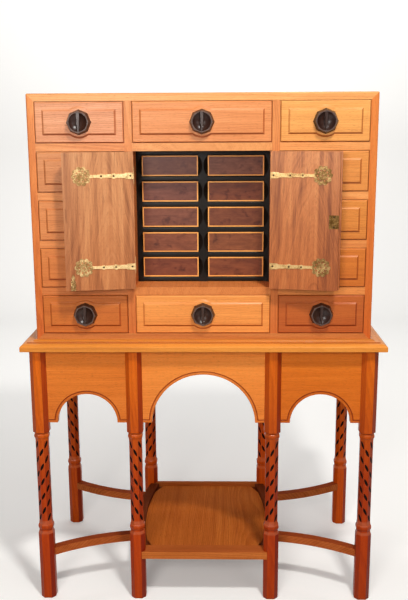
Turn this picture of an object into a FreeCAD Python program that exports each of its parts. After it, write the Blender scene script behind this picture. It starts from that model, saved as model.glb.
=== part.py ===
import FreeCAD, Part

import math
import os

# A writing cabinet of the vargueno kind. A case holds twelve drawers, and two doors close
# over a nest of ten small drawers. It stands on a board with eight inlaid legs.
# Sizes are millimetres, +Z is up and the front looks towards -Y.

# Case
case_width = 900.0
case_depth = 460.0
case_board = 20.0
case_edge_round = 3.5
back_board = 8.0
centre_width = 360.0
row_height = 105.0
rail_height = 21.0
rail_depth = 40.0
runner_width = 12.0
runner_height = 12.0
row_count = 5

# Large drawers
front_proud = 3.0
front_thickness = 18.0
front_chamfer = 2.5
field_thickness = 3.0
field_inset = 20.0
field_bevel = 4.5
field_circle_radius = 40.3
drawer_side_board = 9.0
drawer_bottom_board = 6.0
drawer_bottom_rise = 8.0
drawer_side_drop = 5.0
drawer_length = 430.0
drawer_side_gap = 0.8
drawer_seat_gap = 0.3
drawer_top_gap = 1.2

# Drawer pulls
pull_base_radius = 32.5
pull_rim_radius = 28.0
pull_height = 15.0
bowl_radius = 23.5
bowl_depth = 11.0
fin_top_width = 8.0
fin_foot_width = 3.0
fin_sink = 0.5
peg_radius = 6.0
peg_length = 14.0

# Nest of small drawers
nest_setback = 85.0
nest_frame_depth = 14.0
nest_side_stile = 15.0
nest_centre_stile = 25.0
nest_rail = 13.5
nest_rail_round = 4.0
dust_board = 6.0
scoop_width = 11.5
scoop_depth = 10.0
scoop_height_share = 0.97
small_front_thickness = 11.0
small_side_board = 6.0
small_bottom_board = 4.0
small_bottom_rise = 5.0
small_side_drop = 4.0
small_length = 350.0
small_side_gap = 0.6
small_seat_gap = 0.3
small_top_gap = 0.8

# Doors
door_thickness = 20.0
door_edge_gap = 1.2
door_end_gap = 1.0
door_meeting_gap = 0.8
door_lap = 5.0
door_lap_gap = 0.3
left_door_angle = 170.5
right_door_angle = 169.0

# Hinges and their straps
pivot_outward = 0.2
pivot_ahead = 3.9
knuckle_radius = 3.5
pin_radius = 1.5
pin_clearance = 0.05
case_knuckle_height = 14.0
knuckle_gap = 0.3
hinge_plate = 1.5
hinge_leaf_depth = 18.0
hinge_from_door_end = 60.0
strap_height = 16.0
strap_plate_length = 18.0
strap_bar_start = 12.0
strap_bar_end = 6.0
strap_scallop_radii = (8.0, 7.0, 6.0)
strap_scallop_shares = (0.13, 0.38, 0.62)
strap_screw_shares = (0.06, 0.38, 0.62)
rosette_from_door_edge = 47.9
rosette_disc_radius = 20.5
rosette_lobe_ring = 19.0
rosette_lobe_radius = 6.0
rosette_lobes = 10
rosette_hole_ring = 13.5
rosette_hole_radius = 2.4
rosette_eye_radius = 2.2

# Screws
screw_head_radius = 2.5
screw_shank_radius = 1.3
screw_head_depth = 1.2
screw_length = 10.0
small_screw_share = 0.45

# Bolt on the left door
bolt_from_edge = 18.8
bolt_plate_width = 12.0
bolt_plate_height = 26.0
bolt_plate_thickness = 1.5
bolt_rod_width = 6.0
bolt_rod_thickness = 3.0
bolt_rod_gap = 0.3
bolt_rod_start = 0.6
bolt_rod_height = 44.0
bolt_knob_width = 10.0
bolt_knob_height = 15.0
bolt_staple_height = 4.0
bolt_staple_wall = 1.2
bolt_staple_places = (3.0, 14.0)
bolt_screw_places = (10.5, 22.5)
bolt_travel = 9.0
bolt_socket_gap = 0.5

# Lock on the right door
lock_plate_width = 25.0
lock_plate_height = 35.0
lock_plate_thickness = 1.5
lock_screw_spacing = 26.0
lock_bolt_length = 20.0
lock_bolt_height = 12.0
lock_bolt_thickness = 3.0
lock_bolt_gap = 0.3
lock_travel = 6.0
keeper_depth = 8.0
keyhole_from_edge = 10.0
keyhole_radius = 1.6
keyhole_slot_width = 1.6
keyhole_slot_length = 5.0
escutcheon_radius = 7.5
escutcheon_thickness = 1.2
escutcheon_pin_offset = 5.2

# Board of the stand and the moulding on it
stand_height = 760.0
top_thickness = 23.0
top_overhang = 40.0
top_lip_height = 13.0
top_lip_ease = 1.0
top_slope_rise = 8.0
top_slope_bulge = 1.6
top_slope_steps = 8
top_flat_overhang = 22.0
quirk_width = 1.8
quirk_foot_place = 0.6
quirk_depth = 1.2
moulding_width = 10.0
moulding_height = 4.0

# Legs
outer_leg_inset = 1.0
inner_leg_place = 189.0
upper_block = 44.5
upper_chamfer = 11.5
upper_neck_width = 38.0
upper_neck_height = 3.0
bead_width = 40.5
bead_height = 12.0
bead_steps = 6
cavetto_height = 8.0
cavetto_width = 37.0
shaft_width = 35.0
shaft_height = 238.0
flare_height = 11.0
ring_width = 42.0
ring_height = 15.0
lower_neck_width = 37.5
lower_neck_height = 5.0
block_shoulder_height = 8.0
lower_block = 42.0
lower_chamfer = 10.6
lower_block_height = 199.0
foot_ease = 1.5

# Dashes let into the shaft of each leg
dash_height = 21.0
dash_width = 7.4
dash_end_width = 2.4
dash_shoulder = 0.32
dash_lean = 8.0
dash_depth = 1.6
dash_rows = 6
front_leg_hands = (1, -1, 1, -1)
back_leg_hands = (-1, 1, -1, 1)

# Aprons
apron_height = 208.5
apron_thickness = 20.0
apron_land = 25.5
side_apron_land = 65.0
outer_arch_rise = 82.0
wide_arch_rise = 137.5
band_width = 9.5
band_step = 0.8
band_groove_width = 3.0
band_groove_depth = 2.5

# Stretchers and lower shelf
stretcher_bottom = 124.0
stretcher_height = 22.0
stretcher_width = 25.0
stretcher_reach = 100.0
stretcher_bow = 18.0
shelf_rail_setback = 1.0
shelf_side_rail_width = 28.0
shelf_side_rail_bow = 24.0
shelf_side_rail_inset = 14.0
shelf_back_rail_depth = 18.0
shelf_panel_sink = 9.0
shelf_panel_thickness = 10.0
shelf_corner_clip = (15.0, 30.0)
shelf_corner_drop = 3.0

# Lengthening of every cutting shape past the face that it cuts
overrun = 5.0

# Places that follow from the sizes above
half_case = case_width / 2
half_centre = centre_width / 2
case_foot = stand_height
inner_floor = case_foot + case_board
inner_height = row_count * row_height + (row_count - 1) * rail_height
inner_top = inner_floor + inner_height
case_top = inner_top + case_board
inner_depth = case_depth - back_board
partition_outer = half_centre + case_board
inner_side = half_case - case_board


def row_floor(row):
    """Height of the floor of a row of drawers, with row 1 at the top."""
    return inner_floor + (row_count - row) * (row_height + rail_height)


recess_floor = row_floor(row_count - 1)
recess_top = row_floor(1) - rail_height
recess_height = recess_top - recess_floor
nest_opening_height = (recess_height - (row_count + 1) * nest_rail) / row_count
nest_left = half_centre - nest_side_stile
nest_right = nest_centre_stile / 2

hinge_edge = half_centre - door_edge_gap
pivot_x = hinge_edge + pivot_outward
door_bottom = recess_floor + door_end_gap
door_top = recess_top - door_end_gap
door_long_width = hinge_edge + (door_lap - door_meeting_gap) / 2
door_short_width = hinge_edge - (door_lap + door_meeting_gap) / 2
rosette_reach = door_long_width - rosette_from_door_edge
hinge_heights = (door_bottom + hinge_from_door_end, door_top - hinge_from_door_end)
lock_height = (door_bottom + door_top) / 2

leg_height = stand_height - top_thickness
outer_leg_place = half_case - outer_leg_inset
apron_bottom = leg_height - apron_height
stretcher_top = stretcher_bottom + stretcher_height

along_x = FreeCAD.Vector(1, 0, 0)
along_y = FreeCAD.Vector(0, 1, 0)
along_z = FreeCAD.Vector(0, 0, 1)
origin = FreeCAD.Vector(0, 0, 0)


def block(x0, x1, y0, y1, z0, z1):
    """A box between two corners."""
    return Part.makeBox(x1 - x0, y1 - y0, z1 - z0, FreeCAD.Vector(x0, y0, z0))


def moved(shape, x, y, z):
    copy = shape.copy()
    copy.translate(FreeCAD.Vector(x, y, z))
    return copy


def turned(shape, degrees, x, y):
    """The shape turned about the vertical line through (x, y)."""
    copy = shape.copy()
    copy.rotate(FreeCAD.Vector(x, y, 0), along_z, degrees)
    return copy


def mirrored(shape):
    """The shape on the other side of the cabinet."""
    return shape.mirror(origin, along_x)


def profile_prism(points, direction):
    """A straight prism from the outline of its end face."""
    wire = Part.makePolygon(points + points[:1])
    return Part.Face(wire).extrude(direction)


def front_prism(points, y0, y1):
    """A prism from an outline of (x, z) points, running back from y0 to y1."""
    outline = [FreeCAD.Vector(x, y0, z) for x, z in points]
    return profile_prism(outline, FreeCAD.Vector(0, y1 - y0, 0))


def plan_prism(points, z0, z1):
    """A prism from an outline of (x, y) points, rising from z0 to z1."""
    outline = [FreeCAD.Vector(x, y, z0) for x, y in points]
    return profile_prism(outline, FreeCAD.Vector(0, 0, z1 - z0))


def raised_panel(x0, x1, z0, z1, bevel, foot_y, face_y):
    """A panel that stands forward of a face, with a bevel all round."""
    outlines = []
    for inset, y in ((0, foot_y), (bevel, face_y)):
        corners = [(x0 + inset, z0 + inset), (x1 - inset, z0 + inset),
                   (x1 - inset, z1 - inset), (x0 + inset, z1 - inset)]
        points = [FreeCAD.Vector(x, y, z) for x, z in corners]
        outlines.append(Part.makePolygon(points + points[:1]))
    return Part.makeLoft(outlines, True, True)


def disc(x, z, radius, y0, y1):
    """A round piece whose axis runs from front to back."""
    return Part.makeCylinder(radius, y1 - y0, FreeCAD.Vector(x, y0, z), along_y)


def chord_circle(start, end, bow):
    """Centre and radius of the arc over a chord, and the way that it bows from the chord.

    The arc bows to the left of the chord, or to the right where the bow is negative.
    """
    across = (end[0] - start[0], end[1] - start[1])
    chord = math.hypot(across[0], across[1])
    normal = (-across[1] / chord, across[0] / chord)
    radius = ((chord / 2) ** 2 + bow ** 2) / (2 * bow)
    middle = ((start[0] + end[0]) / 2, (start[1] + end[1]) / 2)
    centre = (middle[0] + normal[0] * (bow - radius), middle[1] + normal[1] * (bow - radius))
    return centre, abs(radius), (normal[0] * bow, normal[1] * bow)


def arc_points(start, end, bow, steps):
    """Points along the arc over a chord."""
    centre, radius, outward = chord_circle(start, end, bow)
    first = math.atan2(start[1] - centre[1], start[0] - centre[0])
    last = math.atan2(end[1] - centre[1], end[0] - centre[0])
    turn = math.remainder(last - first, 2 * math.pi)
    angles = [first + turn * step / steps for step in range(steps + 1)]
    return [(centre[0] + radius * math.cos(a), centre[1] + radius * math.sin(a)) for a in angles]


def arc_band(start, end, bow, width, z0, z1):
    """A bar of even width that follows an arc in plan."""
    centre, radius, outward = chord_circle(start, end, bow)
    first = math.atan2(start[1] - centre[1], start[0] - centre[0])
    last = math.atan2(end[1] - centre[1], end[0] - centre[0])
    middle = math.atan2(outward[1], outward[0])

    def place(distance, angle):
        x = centre[0] + distance * math.cos(angle)
        y = centre[1] + distance * math.sin(angle)
        return FreeCAD.Vector(x, y, z0)

    outer = radius + width / 2
    inner = radius - width / 2
    edges = [
        Part.Arc(place(outer, first), place(outer, middle), place(outer, last)).toShape(),
        Part.makeLine(place(outer, last), place(inner, last)),
        Part.Arc(place(inner, last), place(inner, middle), place(inner, first)).toShape(),
        Part.makeLine(place(inner, first), place(outer, first)),
    ]
    return Part.Face(Part.Wire(edges)).extrude(FreeCAD.Vector(0, 0, z1 - z0))


def screw(x, y, z, outward, share=1):
    """A countersunk screw whose flat head lies in the face that looks outward."""
    head = screw_head_depth * share
    shank = screw_shank_radius * share
    inward = outward * -1
    face = FreeCAD.Vector(x, y, z)
    cone = Part.makeCone(screw_head_radius * share, shank, head, face, inward)
    length = (screw_length - screw_head_depth) * share
    stem = Part.makeCylinder(shank, length, face + inward * head, inward)
    return cone.fuse(stem).removeSplitter()


def case_envelope():
    """Outer form of the case, with its front and top edges rounded over."""
    whole = block(-half_case, half_case, 0, case_depth, case_foot, case_top)
    rounded = []
    for edge in whole.Edges:
        middle = edge.CenterOfMass
        in_front = abs(middle.y) < case_board
        on_side = abs(middle.x) > inner_side
        on_top = middle.z > inner_top
        if (in_front and (on_side or on_top)) or (on_side and on_top):
            rounded.append(edge)
    return whole.makeFillet(case_edge_round, rounded)


def case_boards():
    """Sides, top and bottom of the case, mitred at the corners, and the back."""
    envelope = case_envelope()
    side = front_prism(
        [(-half_case, case_foot), (-inner_side, inner_floor), (-inner_side, inner_top),
         (-half_case, case_top)], 0, case_depth)
    top = front_prism(
        [(-half_case, case_top), (half_case, case_top), (inner_side, inner_top),
         (-inner_side, inner_top)], 0, case_depth)
    bottom = front_prism(
        [(-half_case, case_foot), (half_case, case_foot), (inner_side, inner_floor),
         (-inner_side, inner_floor)], 0, case_depth)
    back = block(-inner_side, inner_side, inner_depth, case_depth, inner_floor, inner_top)
    side = side.common(envelope)
    top = top.common(envelope)
    return [side, mirrored(side)], [top, bottom.common(envelope)], [back]


def hinge_leaf(height):
    """Leaf let into the left partition, with its two knuckles, pin and screws."""
    half = strap_height / 2 + knuckle_gap + case_knuckle_height
    leaf = block(-half_centre - hinge_plate, -half_centre, 0, hinge_leaf_depth,
                 height - half, height + half)
    tabs = []
    for low in (height - half, height + half - case_knuckle_height):
        high = low + case_knuckle_height
        tabs.append(block(-half_centre - hinge_plate, -half_centre, -pivot_ahead, 0, low, high))
        centre = FreeCAD.Vector(-pivot_x, -pivot_ahead, low)
        tabs.append(Part.makeCylinder(knuckle_radius, case_knuckle_height, centre))
    bore_base = FreeCAD.Vector(-pivot_x, -pivot_ahead, height - half - overrun)
    bore = Part.makeCylinder(pin_radius + pin_clearance, 2 * (half + overrun), bore_base)
    pin_base = FreeCAD.Vector(-pivot_x, -pivot_ahead, height - half)
    pin = Part.makeCylinder(pin_radius, 2 * half, pin_base)
    screws = [screw(-half_centre, hinge_leaf_depth / 2, height + side * strap_height, along_x)
              for side in (-1, 1)]
    plate = leaf.fuse(tabs).cut(bore).cut(Part.makeCompound(screws)).removeSplitter()
    pocket = block(-half_centre - hinge_plate, -half_centre + overrun, -overrun, hinge_leaf_depth,
                   height - half, height + half)
    return [plate, pin] + screws, [pocket] + screws


def dividers():
    """Partitions, rails and runners inside the case, and the hinge leaves let into them."""
    partition = block(-partition_outer, -half_centre, 0, inner_depth, inner_floor, inner_top)
    leaves = []
    for height in hinge_heights:
        pieces, pockets = hinge_leaf(height)
        leaves += pieces
        partition = partition.cut(pockets)
    left = [partition]
    for row in range(1, row_count):
        floor = row_floor(row)
        left.append(block(-inner_side, -partition_outer, 0, rail_depth, floor - rail_height, floor))
        for edge in (-inner_side, -partition_outer - runner_width):
            left.append(block(edge, edge + runner_width, rail_depth, inner_depth,
                              floor - runner_height, floor))
    shelves = []
    for row in (1, row_count - 1):
        floor = row_floor(row)
        shelves.append(block(-half_centre, half_centre, 0, inner_depth, floor - rail_height, floor))
    shelves[-1] = shelves[-1].cut(bolt_socket())
    right = [mirrored(piece) for piece in left]
    return left + right + shelves, leaves + [mirrored(piece) for piece in leaves]


def bolt_socket():
    """Hole in the shelf below the doors that the left door's bolt drops into."""
    x = -hinge_edge + door_long_width - bolt_from_edge
    half = bolt_rod_width / 2 + bolt_socket_gap
    y = door_thickness + bolt_plate_thickness + bolt_rod_gap
    lowest = door_bottom + bolt_rod_start - bolt_travel - bolt_socket_gap
    return block(x - half, x + half, y - bolt_socket_gap, y + bolt_rod_thickness + bolt_socket_gap,
                 lowest, recess_floor + overrun)


def drawer_box(x0, x1, y0, y1, z0, z1, side, bottom, rise, drop):
    """Two sides, the back and the bottom of a drawer, behind its front board."""
    top = z1 - drop
    return [
        block(x0, x0 + side, y0, y1, z0, top),
        block(x1 - side, x1, y0, y1, z0, top),
        block(x0 + side, x1 - side, y0, y1, z0 + rise, z0 + rise + bottom),
        block(x0 + side, x1 - side, y1 - side, y1, z0 + rise + bottom, top),
    ]


def large_drawer(left, right, floor):
    """A drawer with its raised front, and the pull pegged into it."""
    x0 = left + drawer_side_gap
    x1 = right - drawer_side_gap
    z0 = floor + drawer_seat_gap
    z1 = floor + row_height - drawer_top_gap
    middle_x = (left + right) / 2
    middle_z = floor + row_height / 2
    face = -front_proud
    back_of_front = face + front_thickness
    board = block(x0, x1, face + front_chamfer, back_of_front, z0, z1)
    edges = raised_panel(x0, x1, z0, z1, front_chamfer, face + front_chamfer, face)
    raised = face - field_thickness
    field = raised_panel(left + field_inset, right - field_inset, floor + field_inset,
                         floor + row_height - field_inset, field_bevel, face, raised)
    circle = Part.makeCone(field_circle_radius, field_circle_radius - field_bevel,
                           field_thickness, FreeCAD.Vector(middle_x, face, middle_z), along_y * -1)
    handle = moved(pull_piece(), middle_x, raised, middle_z)
    hole = disc(middle_x, middle_z, peg_radius, raised, raised + peg_length)
    board = board.fuse([edges, field, circle]).cut(hole).removeSplitter()
    back = -front_proud + drawer_length
    boards = drawer_box(x0, x1, back_of_front, back, z0, z1, drawer_side_board,
                        drawer_bottom_board, drawer_bottom_rise, drawer_side_drop)
    return [board] + boards, [handle]


def octagon(radius, y):
    """Outline with corners above, below and at both sides of the centre."""
    corners = []
    for corner in range(8):
        angle = corner * math.pi / 4
        corners.append(FreeCAD.Vector(radius * math.sin(angle), y, radius * math.cos(angle)))
    return Part.makePolygon(corners + corners[:1])


def pull_piece():
    """Eight-sided pull with a hollow bowl, a blade across it and a peg behind."""
    body = Part.makeLoft([octagon(pull_base_radius, 0), octagon(pull_rim_radius, -pull_height)],
                         True, True)
    ball_radius = (bowl_radius ** 2 + bowl_depth ** 2) / (2 * bowl_depth)
    ball_centre = FreeCAD.Vector(0, -pull_height - (ball_radius - bowl_depth), 0)
    ball = Part.makeSphere(ball_radius, ball_centre)
    fin = front_prism(
        [(-fin_top_width / 2, bowl_radius), (fin_top_width / 2, bowl_radius),
         (fin_foot_width / 2, -bowl_radius), (-fin_foot_width / 2, -bowl_radius)],
        fin_sink - pull_height, 0)
    peg = disc(0, 0, peg_radius, 0, peg_length)
    return body.cut(ball.cut(fin)).fuse(peg).removeSplitter()


def nest_level(row):
    """Height of the floor of a row of small drawers, with row 1 at the top."""
    return recess_floor + nest_rail + (row_count - row) * (nest_opening_height + nest_rail)


def nest_front():
    """Ebonised stiles with finger scoops, and the rounded rails between them."""
    front = nest_setback
    back = nest_setback + nest_frame_depth
    side = block(-half_centre, -nest_left, front, back, recess_floor, recess_top)
    centre = block(-nest_right, nest_right, front, back, recess_floor, recess_top)
    half = nest_opening_height * scoop_height_share / 2
    front_radius = (half ** 2 + scoop_width ** 2) / (2 * scoop_width)
    back_radius = front_radius - scoop_width
    ahead = (front_radius ** 2 - back_radius ** 2 - scoop_depth ** 2) / (2 * scoop_depth)
    ball_radius = math.hypot(front_radius, ahead)
    for row in range(1, row_count + 1):
        height = nest_level(row) + nest_opening_height / 2
        place = FreeCAD.Vector(-nest_left + back_radius, front - ahead, height)
        side = side.cut(Part.makeSphere(ball_radius, place))
        for hand in (-1, 1):
            place = FreeCAD.Vector(hand * (nest_right + back_radius), front - ahead, height)
            centre = centre.cut(Part.makeSphere(ball_radius, place))
    rails = []
    for level in range(row_count + 1):
        low = recess_floor + level * (nest_opening_height + nest_rail)
        rail = rounded_rail(-nest_left, -nest_right, front, back, low, low + nest_rail)
        rails += [rail, mirrored(rail)]
    return [side, mirrored(side), centre] + rails


def rounded_rail(x0, x1, y0, y1, z0, z1):
    """A rail whose two front edges are rounded over."""
    radius = nest_rail_round
    inset = radius * (1 - math.sqrt(0.5))

    def at(y, z):
        return FreeCAD.Vector(x0, y, z)

    edges = [
        Part.makeLine(at(y1, z0), at(y0 + radius, z0)),
        Part.Arc(at(y0 + radius, z0), at(y0 + inset, z0 + inset), at(y0, z0 + radius)).toShape(),
        Part.makeLine(at(y0, z0 + radius), at(y0, z1 - radius)),
        Part.Arc(at(y0, z1 - radius), at(y0 + inset, z1 - inset), at(y0 + radius, z1)).toShape(),
        Part.makeLine(at(y0 + radius, z1), at(y1, z1)),
        Part.makeLine(at(y1, z1), at(y1, z0)),
    ]
    return Part.Face(Part.Wire(edges)).extrude(FreeCAD.Vector(x1 - x0, 0, 0))


def nest_inner_boards():
    """Upright boards behind the stiles, and the dust boards that carry the drawers."""
    front = nest_setback + nest_frame_depth
    side = block(-half_centre, -nest_left, front, inner_depth, recess_floor, recess_top)
    centre = block(-nest_right, nest_right, front, inner_depth, recess_floor, recess_top)
    boards = [side, mirrored(side), centre]
    for row in range(1, row_count + 1):
        floor = nest_level(row)
        dust = block(-nest_left, -nest_right, front, inner_depth, floor - dust_board, floor)
        boards += [dust, mirrored(dust)]
    return boards


def small_drawer(row):
    """A drawer of the left column of the nest."""
    x0 = -nest_left + small_side_gap
    x1 = -nest_right - small_side_gap
    z0 = nest_level(row) + small_seat_gap
    z1 = nest_level(row) + nest_opening_height - small_top_gap
    face = nest_setback
    back_of_front = face + small_front_thickness
    board = block(x0, x1, face, back_of_front, z0, z1)
    boards = drawer_box(x0, x1, back_of_front, face + small_length, z0, z1, small_side_board,
                        small_bottom_board, small_bottom_rise, small_side_drop)
    return [board] + boards


def door_place(reach):
    """Place across the closed left door at a distance from its hinge edge."""
    return -hinge_edge + reach


def door_board(inner_width, outer_width, lap_face):
    """A closed door: its two halves of thickness, rebated where the doors meet."""
    inner = block(door_place(0), door_place(inner_width), lap_face, door_thickness,
                  door_bottom, door_top)
    outer = block(door_place(0), door_place(outer_width), 0, lap_face, door_bottom, door_top)
    field = raised_panel(door_place(field_inset), door_place(outer_width - field_inset),
                         door_bottom + field_inset, door_top - field_inset, field_bevel,
                         0, -field_thickness)
    return inner.fuse([outer, field]).removeSplitter()


def strap(height):
    """A strap hinge's door half: knuckle, edge flange, tapered strap and rosette."""
    half = strap_height / 2
    inner_face = door_thickness
    outer_face = door_thickness + hinge_plate
    flange = block(door_place(0), door_place(hinge_plate), -pivot_ahead, outer_face,
                   height - half, height + half)
    knuckle_base = FreeCAD.Vector(-pivot_x, -pivot_ahead, height - half)
    knuckle = Part.makeCylinder(knuckle_radius, strap_height, knuckle_base)
    plate = block(door_place(0), door_place(strap_plate_length), inner_face, outer_face,
                  height - half, height + half)
    bar = front_prism(
        [(door_place(0), height - strap_bar_start / 2), (door_place(0), height + strap_bar_start / 2),
         (door_place(rosette_reach), height + strap_bar_end / 2),
         (door_place(rosette_reach), height - strap_bar_end / 2)], inner_face, outer_face)
    pieces = [flange, knuckle, plate, bar]
    for radius, share in zip(strap_scallop_radii, strap_scallop_shares):
        pieces.append(disc(door_place(rosette_reach * share), height, radius, inner_face, outer_face))
    centre_x = door_place(rosette_reach)
    pieces.append(disc(centre_x, height, rosette_disc_radius, inner_face, outer_face))
    holes = [disc(centre_x, height, rosette_eye_radius, inner_face - overrun, outer_face + overrun)]
    for lobe in range(rosette_lobes):
        angle = 2 * math.pi * lobe / rosette_lobes
        x = centre_x + rosette_lobe_ring * math.cos(angle)
        z = height + rosette_lobe_ring * math.sin(angle)
        pieces.append(disc(x, z, rosette_lobe_radius, inner_face, outer_face))
        x = centre_x + rosette_hole_ring * math.cos(angle)
        z = height + rosette_hole_ring * math.sin(angle)
        holes.append(disc(x, z, rosette_hole_radius, inner_face - overrun, outer_face + overrun))
    bore_base = FreeCAD.Vector(-pivot_x, -pivot_ahead, height - half - overrun)
    holes.append(Part.makeCylinder(pin_radius + pin_clearance, strap_height + 2 * overrun, bore_base))
    screws = [screw(door_place(rosette_reach * share), outer_face, height, along_y)
              for share in strap_screw_shares]
    metal = pieces[0].fuse(pieces[1:]).cut(holes + screws).removeSplitter()
    pocket = block(door_place(0) - overrun, door_place(hinge_plate), -field_thickness, inner_face,
                   height - half, height + half)
    return [metal] + screws, [pocket] + screws


def straps():
    """Both straps of a door with their screws, and what is cut from the wood for them."""
    metal = []
    pockets = []
    for height in hinge_heights:
        pieces, cuts = strap(height)
        metal += pieces
        pockets += cuts
    return metal, pockets


def bolt_parts():
    """Plate with two staples, the sliding rod, and what is cut from the wood for the screws."""
    centre = door_place(door_long_width - bolt_from_edge)
    face = door_thickness + bolt_plate_thickness
    rod_back = face + bolt_rod_gap
    rod_front = rod_back + bolt_rod_thickness
    half_plate = bolt_plate_width / 2
    half_slot = bolt_rod_width / 2 + bolt_rod_gap
    plate = block(centre - half_plate, centre + half_plate, door_thickness, face,
                  door_bottom, door_bottom + bolt_plate_height)
    slot = block(centre - half_slot, centre + half_slot, face, rod_front + bolt_rod_gap,
                 door_bottom, door_bottom + bolt_plate_height)
    staples = []
    for place in bolt_staple_places:
        low = door_bottom + place
        staple = block(centre - half_plate, centre + half_plate, face,
                       rod_front + bolt_rod_gap + bolt_staple_wall, low, low + bolt_staple_height)
        staples.append(staple.cut(slot))
    offset = (half_plate + half_slot) / 2
    screws = []
    for place in bolt_screw_places:
        for hand in (-1, 1):
            screws.append(screw(centre + hand * offset, face, door_bottom + place, along_y,
                                small_screw_share))
    plate = plate.fuse(staples).cut(screws).removeSplitter()
    low = door_bottom + bolt_rod_start
    knob_low = low + bolt_rod_height - bolt_knob_height
    knob_wide = knob_low + bolt_knob_height / 3
    half_rod = bolt_rod_width / 2
    half_knob = bolt_knob_width / 2
    rod = front_prism(
        [(centre - half_rod, low), (centre + half_rod, low), (centre + half_rod, knob_low),
         (centre + half_knob, knob_wide), (centre, low + bolt_rod_height),
         (centre - half_knob, knob_wide), (centre - half_rod, knob_low)], rod_back, rod_front)
    return [plate] + screws, [rod], screws


def lock_pocket(edge, depth, gap):
    """Slot in the edge of a closed door, at the height of the lock bolt."""
    middle = (door_thickness * 3 + door_lap_gap) / 4
    half_height = lock_bolt_height / 2 + gap
    half_thickness = lock_bolt_thickness / 2 + gap
    return block(door_place(edge - depth), door_place(edge) + gap / 2, middle - half_thickness,
                 middle + half_thickness, lock_height - half_height, lock_height + half_height)


def lock_parts():
    """Lock plate, bolt and keyhole plate of the right door, drawn on the left side."""
    edge = door_short_width
    plate = block(door_place(edge - lock_plate_width), door_place(edge),
                  door_thickness - lock_plate_thickness, door_thickness,
                  lock_height - lock_plate_height / 2, lock_height + lock_plate_height / 2)
    screws = [screw(door_place(edge - lock_plate_width / 2), door_thickness,
                    lock_height + hand * lock_screw_spacing / 2, along_y) for hand in (-1, 1)]
    bolt_end = edge - lock_bolt_gap
    bolt = lock_pocket(bolt_end, lock_bolt_length, 0)
    slot = lock_pocket(edge, lock_bolt_length + lock_travel / 2, lock_bolt_gap)
    key_x = door_place(door_long_width - keyhole_from_edge)
    back = door_thickness * 3 / 4
    keyhole = disc(key_x, lock_height, keyhole_radius, -overrun, back).fuse(
        block(key_x - keyhole_slot_width / 2, key_x + keyhole_slot_width / 2, -overrun, back,
              lock_height - keyhole_slot_length, lock_height))
    ring = disc(key_x, lock_height, escutcheon_radius, -escutcheon_thickness, 0)
    pins = [screw(key_x + hand * escutcheon_pin_offset, -escutcheon_thickness, lock_height,
                  along_y * -1, small_screw_share) for hand in (-1, 1)]
    ring = ring.cut([keyhole] + pins).removeSplitter()
    return [plate.cut(screws)] + screws, [bolt], [ring] + pins, [plate, slot, keyhole] + screws + pins


def open_left(shape):
    """The closed left door's piece, turned to where the open door stands."""
    return turned(shape, -left_door_angle, -pivot_x, -pivot_ahead)


def open_right(shape):
    """A piece drawn on the left side, taken to the open right door."""
    return turned(mirrored(shape), right_door_angle, pivot_x, -pivot_ahead)


def doors():
    """Both doors with their metalwork, standing open."""
    found = {}
    strap_metal, strap_pockets = straps()
    bolt_plate, bolt_rod, bolt_cuts = bolt_parts()
    lock_plate, lock_bolt, escutcheon, lock_cuts = lock_parts()
    left_lap = (door_thickness + door_lap_gap) / 2
    right_lap = (door_thickness - door_lap_gap) / 2
    keeper = lock_pocket(door_long_width, keeper_depth, lock_bolt_gap * 2)
    left = door_board(door_long_width, door_short_width, left_lap)
    left = left.cut(strap_pockets + bolt_cuts + [keeper])
    right = door_board(door_short_width, door_long_width, right_lap)
    right = right.cut(strap_pockets + lock_cuts)
    found["left_door"] = [open_left(left)]
    found["left_door_straps"] = [open_left(piece) for piece in strap_metal]
    found["door_bolt_plate"] = [open_left(piece) for piece in bolt_plate]
    found["door_bolt"] = [open_left(piece) for piece in bolt_rod]
    found["right_door"] = [open_right(right)]
    found["right_door_straps"] = [open_right(piece) for piece in strap_metal]
    found["lock_plate"] = [open_right(piece) for piece in lock_plate]
    found["lock_bolt"] = [open_right(piece) for piece in lock_bolt]
    found["keyhole_escutcheon"] = [open_right(piece) for piece in escutcheon]
    return found


def foot_rectangle(overhang, z):
    """Outline that runs at an even distance round the foot of the case."""
    x = half_case + overhang
    corners = [(-x, -overhang), (x, -overhang), (x, case_depth + overhang), (-x, case_depth + overhang)]
    points = [FreeCAD.Vector(a, b, z) for a, b in corners]
    return Part.makePolygon(points + points[:1])


def stand_board():
    """Board under the case, with an upright lip, a rounded slope and a thin groove all round."""
    low = stand_height - top_thickness
    lip_top = low + top_lip_height
    levels = [(top_overhang - top_lip_ease, low), (top_overhang, low + top_lip_ease)]
    slope_top = lip_top + top_slope_rise
    slope_end = (top_flat_overhang + quirk_width, slope_top)
    levels += arc_points((top_overhang, lip_top), slope_end, -top_slope_bulge, top_slope_steps)
    levels.append((top_flat_overhang + quirk_foot_place, slope_top - quirk_depth))
    levels.append((top_flat_overhang, stand_height))
    return Part.makeLoft([foot_rectangle(overhang, z) for overhang, z in levels], True, True)


def moulding_strip(length):
    """A quarter-round strip with mitred ends, lying along X in front of the line y = 0."""
    half = length / 2 + moulding_width
    diagonal = math.sqrt(0.5)

    def at(overhang, rise):
        return FreeCAD.Vector(-half, -overhang, stand_height + rise)

    crown = at(moulding_width * diagonal, moulding_height * diagonal)
    edges = [
        Part.makeLine(at(0, 0), at(moulding_width, 0)),
        Part.Arc(at(moulding_width, 0), crown, at(0, moulding_height)).toShape(),
        Part.makeLine(at(0, moulding_height), at(0, 0)),
    ]
    strip = Part.Face(Part.Wire(edges)).extrude(FreeCAD.Vector(2 * half, 0, 0))
    plan = [(-length / 2, 0), (length / 2, 0), (half, -moulding_width), (-half, -moulding_width)]
    return strip.common(plan_prism(plan, stand_height, stand_height + moulding_height))


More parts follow.
